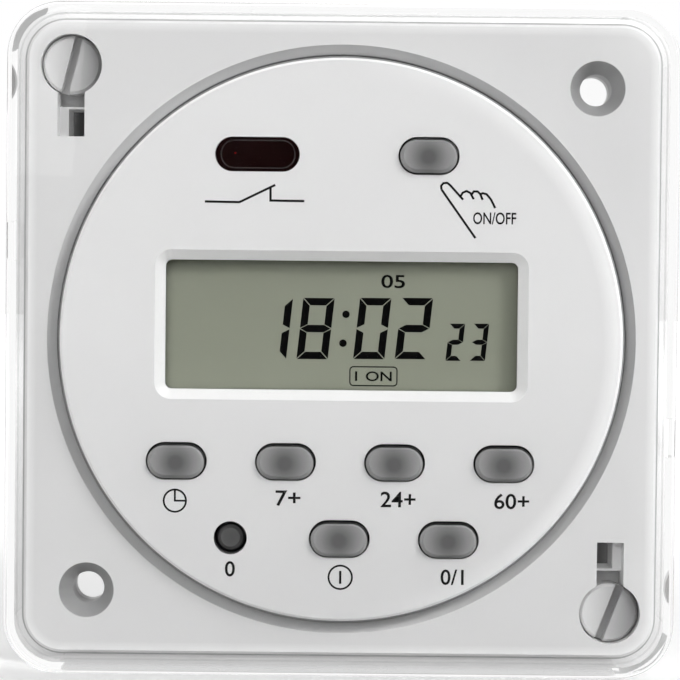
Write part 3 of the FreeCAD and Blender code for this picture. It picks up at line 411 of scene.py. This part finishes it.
def housing_material(name, colour):
    """The housing's plastic: painted shade in bore and countersinks, painted light and shade on
    ring and edge.
    """
    base = shade(colour, EDGE_HIGHLIGHT_GAIN)
    material = textured(name, base, roughness=0.42, bump=0.05, spread=0.006)
    tree = material.node_tree
    place = coordinate(tree, "Object")
    across, up = along_axis(tree, place, "X"), along_axis(tree, place, "Z")
    facing = facing_front(tree)
    radius = reach_from(tree, 0, 0)
    edge = reach_beyond(tree, place, FLANGE_CORE, FLANGE_CORE)
    # painted highlight: the flange's edge paler than its face
    multiply_colour(tree, scaled(tree, edge, HIGHLIGHT_MARGIN, (1 / EDGE_HIGHLIGHT_GAIN, 1)))
    in_front = scaled(tree, along_axis(tree, place, "Y"), FRONT_PART, (1, 0))
    # painted shade in the countersinks and in the gap round the bore
    for distance, end, low in (
        (reach_from(tree, FIXING_REACH, FIXING_REACH), COUNTERSINK_REACH, COUNTERSINK_SHADE),
        (reach_from(tree, -FIXING_REACH, -FIXING_REACH), COUNTERSINK_REACH, COUNTERSINK_SHADE),
        (radius, BORE_REACH, BORE_SHADE),
    ):
        dark = scaled(tree, distance, (end - SHADE_STEP, end), (low, 1))
        multiply_colour(tree, where(tree, dark, in_front))
    # painted light and shade on the sloping ring
    near_ring = scaled(tree, radius, RING_END, (1, 0))
    sloping = scaled(tree, facing, RING_FACING, (1, 0))
    in_ring = calculated(tree, "MULTIPLY", near_ring, sloping)
    in_ring = calculated(tree, "MULTIPLY", in_ring, in_front)
    for source, span, gains in (
        (across, RING_RIGHT, RING_RIGHT_SHADE_GAINS),
        (radius, RING_OUTWARD, RING_OUTWARD_LIGHT_AND_SHADE_GAINS),
        (calculated(tree, "ADD", across, up), RING_UPPER_RIGHT, RING_UPPER_RIGHT_SHADE_GAINS),
    ):
        multiply_colour(tree, where(tree, scaled(tree, source, span, gains), in_ring))
    # painted shadow: a dark line at the flange's outer edge
    outer = scaled(tree, edge, OUTER_SHADOW_LINE, (0, 1))
    line = calculated(tree, "MULTIPLY", outer, scaled(tree, facing, LINE_FACING, (0, 1)))
    multiply_colour(tree, scaled(tree, line, (0, 1), (1, LINE_SHADE)))
    return material


# The clamp screws

# The greys of the heads' painted light and shade, and where it changes
HEAD_LIT_GREY = 0.75
HEAD_SHADED_GREY = 0.28
HEAD_SHADE_SPAN = (0.1, 0.9)


def head_material(name):
    """A clamp screw's plastic with painted light and shade: paler on one side of its head than the
    other.
    """
    material = textured(name, grey(HEAD_LIT_GREY), roughness=0.42, bump=0.1)
    tree = material.node_tree
    # painted light and shade across the head
    across = along_axis(tree, coordinate(tree, "Generated"), "X")
    tones = (WHITE, grey(HEAD_SHADED_GREY / HEAD_LIT_GREY))
    multiply_colour(tree, add_ramp(tree, across, list(zip(HEAD_SHADE_SPAN, tones))))
    return material


# Colour, roughness and the rest of the finish of each plain material
PLAIN_FINISHES = {
    "rear_plastic": ((0.56, 0.56, 0.565), 0.5, {"bump": 0.18, "spread": 0.015}),
    "display_glass": ((0.374, 0.395, 0.312), 0.5, {"bump": 0.03, "spread": 0.02}),
    "holder_plastic": ((0.6, 0.6, 0.61), 0.6, {}),
    "contact_rubber": ((0.25, 0.2, 0.18), 0.8, {"spread": 0.2}),
    "switch_plastic": ((0.03, 0.03, 0.032), 0.45, {}),
    "dark_lens": ((0.008, 0.0015, 0.0015), 0.2, {"bump": 0.02, "spread": 0.1, "gleam": 0.15}),
    # a painted highlight on the lens's rim
    "lens_glint_edge": ((0.028, 0.024, 0.024), 0.3, {"bump": 0.02}),
    "lamp_red": ((0.2, 0.006, 0.006), 0.2, {"bump": 0.02}),
    "board_green": ((0.02, 0.13, 0.05), 0.35, {"spread": 0.12}),
    "screw_steel": ((0.55, 0.55, 0.56), 0.35, {"metallic": 1.0}),
    "chip_black": ((0.02, 0.02, 0.021), 0.55, {}),
    "can_steel": ((0.62, 0.62, 0.63), 0.28, {"metallic": 1.0}),
    "relay_black": ((0.012, 0.012, 0.013), 0.35, {}),
    "capacitor_yellow": ((0.72, 0.45, 0.05), 0.35, {}),
    "capacitor_blue": ((0.02, 0.04, 0.16), 0.3, {}),
    "tinned_brass": ((0.68, 0.66, 0.6), 0.3, {"metallic": 1.0, "bump": 0.08}),
    "nut_brass": ((0.66, 0.47, 0.2), 0.3, {"metallic": 1.0}),
    # painted shade: a dark grey for the claw's steel, standing for the shade it lies in
    "claw_steel": (grey(0.2), 0.4, {"metallic": 1.0, "bump": 0.2}),
    "ink": (grey(0.012), 0.5, {"bump": 0.05, "spread": 0.2, "gleam": 0.1}),
    "liquid_crystal": (grey(0.003), 0.5, {"bump": 0.0, "spread": 0.1, "gleam": 0.05}),
}
HOUSING_WHITE = grey(0.77)
PANEL_WHITE = grey(0.845)
# The greys of the keys' painted shading, in the cap's middle and at its rim
KEY_SHADING_GREYS = (grey(0.115), grey(0.34))
RESET_SHADING_GREYS = (grey(0.08), grey(0.11))

# Tint, roughness and refraction, which is a little less in the cover than its plastic has
COVER_FINISH = (grey(0.99), 0.015, 1.3)
PANE_FINISH = (grey(0.98), 0.02, 1.49)

materials = {
    name: textured(name, colour, roughness, **finish)
    for name, (colour, roughness, finish) in PLAIN_FINISHES.items()
}
materials["white_plastic"] = housing_material("white_plastic", HOUSING_WHITE)
materials["panel_plastic"] = panel_material("panel_plastic", PANEL_WHITE)
materials["clear_plastic"] = clear_material("clear_plastic", *COVER_FINISH)
materials["clear_pane"] = clear_material("clear_pane", *PANE_FINISH)
materials["key_plastic"] = key_material("key_plastic", "key_clock", *KEY_SHADING_GREYS, KEY_CAP, KEY_SHADOW_SHIFT)
materials["reset_plastic"] = key_material("reset_plastic", "key_reset", *RESET_SHADING_GREYS, RESET_CAP)
materials["screw_plastic"] = head_material("screw_plastic")

for part in frame["record"]["subparts"]:
    mesh = frame["nodes"][part["node"]].data
    mesh.materials.clear()
    mesh.materials.append(materials[part["material_slot"]])


# Printed marks and display figures, as thin raised meshes

MARK_SKIN = 0.012 * MM
MITRE_LIMIT = 0.4
CIRCLE_STEPS = 24
CORNER_STEPS = 6
TEXT_WEIGHT = 0.012
TEXT_RESOLUTION = 4


def new_piece(name, mesh, material):
    """A piece of the front, which rides on the case."""
    piece = bpy.data.objects.new(name, mesh)
    bpy.context.scene.collection.objects.link(piece)
    mesh.materials.append(materials[material])
    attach(piece, "case")
    return piece


def finished_mesh(name, shape):
    bmesh.ops.recalc_face_normals(shape, faces=shape.faces)
    mesh = bpy.data.meshes.new(name)
    shape.to_mesh(mesh)
    shape.free()
    return mesh


def thin_sheet(name, outlines, face, skin=MARK_SKIN):
    """A flat mesh of closed outlines in X and Z, standing just in front of a face."""
    shape = bmesh.new()
    for outline in outlines:
        lower = [shape.verts.new((x, face, z)) for x, z in outline]
        upper = [shape.verts.new((x, face - skin, z)) for x, z in outline]
        shape.faces.new(upper)
        shape.faces.new(list(reversed(lower)))
        count = len(outline)
        for number in range(count):
            following = (number + 1) % count
            corners = (lower[number], lower[following], upper[following], upper[number])
            shape.faces.new(corners)
    return finished_mesh(name, shape)


def ribbon(points, width, closed=False):
    """The outlines of a drawn line: one quadrilateral for each stretch, mitred at corners."""
    count = len(points)
    sides = []
    for number, point in enumerate(points):
        before = points[number - 1] if number or closed else point
        after = points[(number + 1) % count] if number < count - 1 or closed else point
        incoming = Vector((point[0] - before[0], point[1] - before[1]))
        outgoing = Vector((after[0] - point[0], after[1] - point[1]))
        if incoming.length == 0:
            incoming = outgoing
        if outgoing.length == 0:
            outgoing = incoming
        along = (incoming.normalized() + outgoing.normalized()).normalized()
        across = Vector((-along.y, along.x))
        mitre = max(MITRE_LIMIT, across.dot(Vector((-incoming.y, incoming.x)).normalized()))
        across *= width / 2 / mitre
        sides.append(
            ((point[0] + across.x, point[1] + across.y), (point[0] - across.x, point[1] - across.y))
        )
    stretches = range(count if closed else count - 1)
    return [
        [sides[n][0], sides[n][1], sides[(n + 1) % count][1], sides[(n + 1) % count][0]]
        for n in stretches
    ]


def arc_points(centre, radius, start, end, steps):
    """Points along an arc, with angles in degrees."""
    angles = [math.radians(start + (end - start) * n / steps) for n in range(steps + 1)]
    return [
        (centre[0] + radius * math.cos(angle), centre[1] + radius * math.sin(angle))
        for angle in angles
    ]


def circle(centre, radius, steps=CIRCLE_STEPS):
    return arc_points(centre, radius, 0, 360, steps)[:-1]


def rounded_outline(centre, width, height, radius):
    reach, rise = width / 2 - radius, height / 2 - radius
    points = []
    for start, (sx, sz) in ((0, (1, 1)), (90, (-1, 1)), (180, (-1, -1)), (270, (1, -1))):
        corner = (centre[0] + sx * reach, centre[1] + sz * rise)
        points += arc_points(corner, radius, start, start + 90, CORNER_STEPS)
    return points


def photo_outline(pixel, size, radius, face):
    """A rounded outline on a face, with its middle, size and radius in the photograph's pixels."""
    width, height = (photo_length(pixels) for pixels in size)
    return rounded_outline(from_photo(pixel, face), width, height, photo_length(radius))


def print_lines(name, lines, width, closed=False):
    outlines = []
    for line in lines:
        outlines += ribbon(line, width, closed)
    return new_piece(name, thin_sheet(name, outlines, PANEL_FACE), "ink")


def print_text(name, words, pixel, height, width=None, face=PANEL_FACE, material="ink"):
    """Plain numbers or ON and OFF, centred on a pixel, at the type's own width or a set one.

    The height and the width are in pixels too.
    """
    curve = bpy.data.curves.new(name, "FONT")
    curve.body = words
    curve.align_x = "CENTER"
    curve.align_y = "CENTER"
    curve.size = 1.0
    curve.offset = TEXT_WEIGHT
    curve.resolution_u = TEXT_RESOLUTION
    letters = bpy.data.objects.new(name + "_letters", curve)
    bpy.context.scene.collection.objects.link(letters)
    bpy.context.view_layer.update()
    flat = bpy.data.meshes.new_from_object(letters)
    bpy.data.objects.remove(letters)
    across = [vertex.co.x for vertex in flat.vertices]
    up = [vertex.co.y for vertex in flat.vertices]
    left, right, low, high = min(across), max(across), min(up), max(up)
    rise = photo_length(height) / (high - low)
    stretch = photo_length(width) / (right - left) if width else rise
    centre = from_photo(pixel, face)
    shape = bmesh.new()
    shape.from_mesh(flat)
    for vertex in shape.verts:
        x = (vertex.co.x - (left + right) / 2) * stretch + centre[0]
        z = (vertex.co.y - (low + high) / 2) * rise + centre[1]
        vertex.co = (x, face, z)
    sheet = bmesh.ops.extrude_face_region(shape, geom=shape.faces[:])
    raised = [item for item in sheet["geom"] if isinstance(item, bmesh.types.BMVert)]
    bmesh.ops.translate(shape, vec=(0, -MARK_SKIN, 0), verts=raised)
    return new_piece(name, finished_mesh(name, shape), material)


# Marks on the panel: a name that ends in PX holds pixels of the photograph

LINE = photo_length(2.3)
THIN_LINE = photo_length(1.9)
TEXT_HEIGHT_PX = 15.6

# The break-contact sign under the indicator: the moving arm and what it rests on
CONTACT_ARM_PX = ((205, 201.5), (239.6, 202.2), (275.4, 185))
CONTACT_REST_PX = ((270.6, 187.3), (270.6, 200.6), (304.4, 201.2))
contact_lines = [
    [from_photo(pixel) for pixel in line] for line in (CONTACT_ARM_PX, CONTACT_REST_PX)
]
print_lines("mark_contact", contact_lines, LINE)

# The clock mark under the first key
CLOCK_PX = (175, 500.4)
CLOCK_RADIUS = photo_length(11.2)
clock_x, clock_z = from_photo(CLOCK_PX)
clock_hands = [
    (clock_x, clock_z + CLOCK_RADIUS), (clock_x, clock_z), (clock_x + CLOCK_RADIUS, clock_z),
]
print_lines("mark_clock_ring", [circle((clock_x, clock_z), CLOCK_RADIUS)], THIN_LINE, True)
print_lines("mark_clock_hands", [clock_hands], THIN_LINE)

# Plain numbers, ON and OFF: the words, their middle, their height, and their width where it is set
PROGRAM_PX = (340.2, 577)
PROGRAM_RADIUS = photo_length(11.8)
LABELS_PX = {
    "mark_day": ("7+", (288, 498), TEXT_HEIGHT_PX, 25),
    "mark_hour": ("24+", (398, 499.3), TEXT_HEIGHT_PX, 35),
    "mark_minute": ("60+", (511.5, 501.3), TEXT_HEIGHT_PX, 35),
    "mark_reset": ("0", (230, 568.5), TEXT_HEIGHT_PX, None),
    "mark_mode": ("0/1", (452, 577), TEXT_HEIGHT_PX, None),
    "mark_program": ("1", PROGRAM_PX, 13, None),
}
MANUAL_LABEL_PX = ("ON/OFF", (494.5, 218.5), 12, 43)
for name, label in LABELS_PX.items():
    print_text(name, *label)
program_ring = circle(from_photo(PROGRAM_PX), PROGRAM_RADIUS)
print_lines("mark_program_ring", [program_ring], THIN_LINE, True)
print_text("mark_manual", *MANUAL_LABEL_PX)


# The display's film

WINDOW_LOW, WINDOW_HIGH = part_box("display_pane")
FILM_SKIN = 0.02 * MM
FILM_GAP = 0.01 * MM
FILM_REAR = GLASS_FACE - FILM_GAP
FILM_FACE = FILM_REAR - FILM_SKIN
FILM_MARGIN = 0.2 * MM
FILM_CORNER = 0.3 * MM
window_middle = (WINDOW_LOW + WINDOW_HIGH) / 2
window_size = WINDOW_HIGH - WINDOW_LOW
film_outline = rounded_outline(
    (window_middle.x, window_middle.z),
    window_size.x - 2 * FILM_MARGIN, window_size.z - 2 * FILM_MARGIN, FILM_CORNER,
)
film = thin_sheet("display_film", [film_outline], FILM_REAR, FILM_SKIN)
new_piece("display_film", film, "display_glass")


# The indicator lens's moulded rim with a painted highlight, and its lamp just showing through

LENS_RIM_PX = (258.2, 154.2)
LENS_RIM_SIZE_PX = (73.5, 27.5)
LENS_RIM_CORNER_PX = 13
LENS_RIM_LINE = photo_length(1.3)
LAMP_SPOT_PX = (235.5, 153)
LAMP_SPOT_RADIUS = photo_length(0.9)
LAMP_SPOT_STEPS = 12
rim_outline = photo_outline(LENS_RIM_PX, LENS_RIM_SIZE_PX, LENS_RIM_CORNER_PX, LENS_FACE)
# the rim's line, paler than the lens: the rim with a painted highlight on it
lens_rim = thin_sheet("lens_rim", ribbon(rim_outline, LENS_RIM_LINE, True), LENS_FACE)
new_piece("lens_rim", lens_rim, "lens_glint_edge")
spot_outline = circle(from_photo(LAMP_SPOT_PX, LENS_FACE), LAMP_SPOT_RADIUS, LAMP_SPOT_STEPS)
new_piece("lamp_spot", thin_sheet("lamp_spot", [spot_outline], LENS_FACE), "lamp_red")


# The figures: slanted bars as on any seven-bar display

BARS = {"0": "abcdef", "1": "bc", "2": "abged", "3": "abgcd", "8": "abcdefg"}
SLANT = math.tan(math.radians(6.0))


def bar_outlines(figure, left, low, width, height, thick, gap):
    """The bars of one figure, tapered to their ends and leaning to the right."""
    half, middle = thick / 2, height / 2

    def lean(points):
        return [(left + x + z * SLANT, low + z) for x, z in points]

    def turned(points):
        return [(width - x, height - z) for x, z in points]

    def mirrored(points):
        return [(width - x, z) for x, z in points]

    top = [(gap, height), (width - gap, height)]
    top += [(width - thick - gap, height - thick), (thick + gap, height - thick)]
    bridge = [(gap, middle), (thick, middle + half), (width - thick, middle + half)]
    bridge += turned(bridge)
    upper_left = [(0, height - gap), (thick, height - thick - gap)]
    upper_left += [(thick, middle + half + gap), (0, middle + gap)]
    shapes = {
        "a": top, "d": turned(top), "g": bridge,
        "f": upper_left, "b": mirrored(upper_left),
        "c": turned(upper_left), "e": mirrored(turned(upper_left)),
    }
    return [lean(shapes[letter]) for letter in BARS[figure]]


def figure_row(places, base, sizes):
    """Figures on one base line, each from its left end, with all sizes in pixels."""
    width, height, thick, gap = (photo_length(pixels) for pixels in sizes)
    outlines = []
    for figure, left_end in places:
        left, low = from_photo((left_end, base), FILM_FACE)
        outlines += bar_outlines(figure, left, low, width, height, thick, gap)
    return outlines


# Each row's figures with their left ends, its base line, and its figures' width, height, bars, gaps
HOURS_PX = (("1", 255), ("8", 296.5), ("0", 353), ("2", 394.5))
HOURS_BASE_PX = 358.7
HOURS_SIZES_PX = (31.6, 61.7, 7.4, 0.6)
SECONDS_PX = (("2", 445), ("3", 469))
SECONDS_BASE_PX = 360.5
SECONDS_SIZES_PX = (15.6, 37.5, 5, 0.3)
COLON_PX = ((346, 314.2), (343, 343))
COLON_RADIUS = photo_length(3.8)
COLON_STEPS = 20


def display_sheet(name, outlines):
    return new_piece(name, thin_sheet(name, outlines, FILM_FACE), "liquid_crystal")


figures = figure_row(HOURS_PX, HOURS_BASE_PX, HOURS_SIZES_PX)
figures += figure_row(SECONDS_PX, SECONDS_BASE_PX, SECONDS_SIZES_PX)
for spot in COLON_PX:
    figures.append(circle(from_photo(spot, FILM_FACE), COLON_RADIUS, COLON_STEPS))
display_sheet("display_figures", figures)

# The day's number, and the state in its box
STATE_PX = (373.3, 376)
STATE_BOX_SIZE_PX = (47.5, 19)
STATE_BOX_CORNER_PX = 3.5
STATE_BOX_LINE = photo_length(1.2)
DISPLAY_WORDS_PX = {
    "display_day": ("05", (393, 281.5), 13.5, 24),
    "display_state": ("1 ON", STATE_PX, 10, 37),
}
for name, words in DISPLAY_WORDS_PX.items():
    print_text(name, *words, FILM_FACE, "liquid_crystal")
state_box = photo_outline(STATE_PX, STATE_BOX_SIZE_PX, STATE_BOX_CORNER_PX, FILM_FACE)
display_sheet("display_state_box", ribbon(state_box, STATE_BOX_LINE, True))


# A pointing hand of the plainest kind, beside the key above the display

HAND_TIP_PX = (441, 184)
HAND_LINE = photo_length(2.2)

# Its lines, in millimetres to the right of its finger's tip and below it
FINGER = ((0.04, 0.5), (0.0, 0.2), (0.2, -0.06), (0.55, -0.1), (0.85, 0.14), (2.0, 1.4))
WRIST = ((0.04, 0.5), (3.15, 4.85))
FIRST_KNUCKLE = ((1.75, 1.13), (1.95, 0.78), (2.3, 0.62), (2.65, 0.8), (2.95, 1.35))
SECOND_KNUCKLE = ((2.75, 0.95), (2.95, 0.65), (3.3, 0.65), (3.55, 0.9), (3.75, 1.4))
THIRD_KNUCKLE = ((3.55, 0.9), (3.75, 0.8), (4.1, 0.88), (4.5, 1.35), (4.9, 2.13))

tip_x, tip_z = from_photo(HAND_TIP_PX)
hand_lines = [
    [(tip_x + right * MM, tip_z - down * MM) for right, down in line]
    for line in (FINGER, WRIST, FIRST_KNUCKLE, SECOND_KNUCKLE, THIRD_KNUCKLE)
]
print_lines("mark_hand", hand_lines, HAND_LINE)


# Stage, light and camera

ROOM_LEVEL = 0.01


def white_strengths(tree, direction, otherwise, front):
    """Strengths for what is looked at, straight or through clear plastic, and for reflections.

    A reflection shows the white behind the object, and the dim room in front of it. The third
    output says how far a ray is such a reflection.
    """
    path = tree.nodes.new("ShaderNodeLightPath").outputs
    looked_at = calculated(tree, "MAXIMUM", path["Is Camera Ray"], path["Is Transmission Ray"])
    looked_at = calculated(tree, "SUBTRACT", looked_at, path["Diffuse Depth"])
    plain = scaled(tree, looked_at, (0, 1), (otherwise, 1))
    room = scaled(tree, along_axis(tree, direction, "Y"), (front, 0), (ROOM_LEVEL, 1))
    mirrored = calculated(tree, "MULTIPLY", path["Is Glossy Ray"], path["Glossy Depth"])
    mirrored = calculated(tree, "SUBTRACT", mirrored, path["Diffuse Depth"])
    return plain, room, scaled(tree, mirrored, (0, 1), (0, 1))


# The floor glows more towards the back, where it makes the background, than under the object
FLOOR_REACH = 2.0
FLOOR_FRONT = -0.4
FLOOR_NOISE = (8, 4)
FLOOR_TONES = [(0.4, grey(0.74)), (0.6, grey(0.76))]
FLOOR_ROUGHNESS = 0.8
FLOOR_ROOM_END = -0.03
GLOW_SPAN = (0.03, 0.5)
# The glow's levels near and far; the lower one also paints the floor under the object greyer as
# shade
GLOW_LEVELS = (0.32, 1)


def floor_material():
    material, tree, shader = new_material("floor")
    drift = add_ramp(tree, add_noise(tree, *FLOOR_NOISE), FLOOR_TONES)
    tree.links.new(drift, shader.inputs["Base Color"])
    shader.inputs["Roughness"].default_value = FLOOR_ROUGHNESS
    shader.inputs["Emission Color"].default_value = (*WHITE, 1)
    place = tree.nodes.new("ShaderNodeNewGeometry").outputs["Position"]
    plain, room, mirrored = white_strengths(tree, place, 0, FLOOR_ROOM_END)
    # weaker glow near the object: its real shadow shows there, and the floor is also painted greyer
    # as shade
    farther = scaled(tree, along_axis(tree, place, "Y"), GLOW_SPAN, GLOW_LEVELS)
    glow = calculated(tree, "MULTIPLY", plain, farther)
    tree.links.new(glow, shader.inputs["Emission Strength"])
    reflection = tree.nodes.new("ShaderNodeEmission")
    tree.links.new(room, reflection.inputs["Strength"])
    mix = linked(
        tree, "ShaderNodeMixShader",
        mirrored, shader.outputs["BSDF"], reflection.outputs["Emission"],
    )
    tree.links.new(mix.outputs["Shader"], tree.nodes["Material Output"].inputs["Surface"])
    return material


def add_floor():
    mesh = bpy.data.meshes.new("floor")
    corners = [
        (across, along, cad_box[0].z)
        for across, along in (
            (-FLOOR_REACH, FLOOR_FRONT), (FLOOR_REACH, FLOOR_FRONT),
            (FLOOR_REACH, FLOOR_REACH), (-FLOOR_REACH, FLOOR_REACH),
        )
    ]
    mesh.from_pydata(corners, [], [(0, 1, 2, 3)])
    mesh.materials.append(floor_material())
    floor = bpy.data.objects.new("floor", mesh)
    bpy.context.scene.collection.objects.link(floor)


WORLD_LEVEL = 0.27
WORLD_ROOM_END = -0.6


def add_world():
    world = bpy.data.worlds.new("studio")
    bpy.context.scene.world = world
    world.use_nodes = True
    tree = world.node_tree
    background = tree.nodes["Background"]
    background.inputs["Color"].default_value = (*WHITE, 1)
    direction = coordinate(tree, "Generated")
    plain, room, mirrored = white_strengths(tree, direction, WORLD_LEVEL, WORLD_ROOM_END)
    mix = tree.nodes.new("ShaderNodeMix")
    for name, source in (("Factor", mirrored), ("A", plain), ("B", room)):
        tree.links.new(source, mix.inputs[name])
    tree.links.new(mix.outputs["Result"], background.inputs["Strength"])


# Each lamp's place, size and power, and whether surfaces mirror it
LAMPS = {
    "key_light": ((1.0, -0.95, 0.85), 0.4, 8.2, True),
    "left_light": ((-0.35, -0.85, 0.3), 0.5, 1.9, False),
    "rear_light": ((0.3, 0.8, 0.6), 0.6, 5.0, True),
}


def add_lamp(name, place, size, power, mirrored):
    """A square lamp that shines at the object's middle."""
    light = bpy.data.lights.new(name, "AREA")
    light.shape = "SQUARE"
    light.size = size
    light.energy = power
    lamp = bpy.data.objects.new(name, light)
    lamp.location = place
    lamp.rotation_euler = (-Vector(place)).to_track_quat("-Z", "Y").to_euler()
    lamp.visible_glossy = mirrored
    bpy.context.scene.collection.objects.link(lamp)


SENSOR_WIDTH = 36


def add_camera():
    settings = bpy.data.cameras.new("camera")
    settings.sensor_width = SENSOR_WIDTH
    settings.lens = FOCAL_LENGTH * SENSOR_WIDTH / PHOTO_SIZE
    camera = bpy.data.objects.new("camera", settings)
    bpy.context.scene.collection.objects.link(camera)
    camera.matrix_world = Matrix.Translation(CAMERA_PLACE) @ CAMERA_TURN.to_4x4()
    bpy.context.scene.camera = camera


add_floor()
add_world()
for name, lamp in LAMPS.items():
    add_lamp(name, *lamp)
add_camera()
bpy.context.scene.view_settings.view_transform = "Standard"
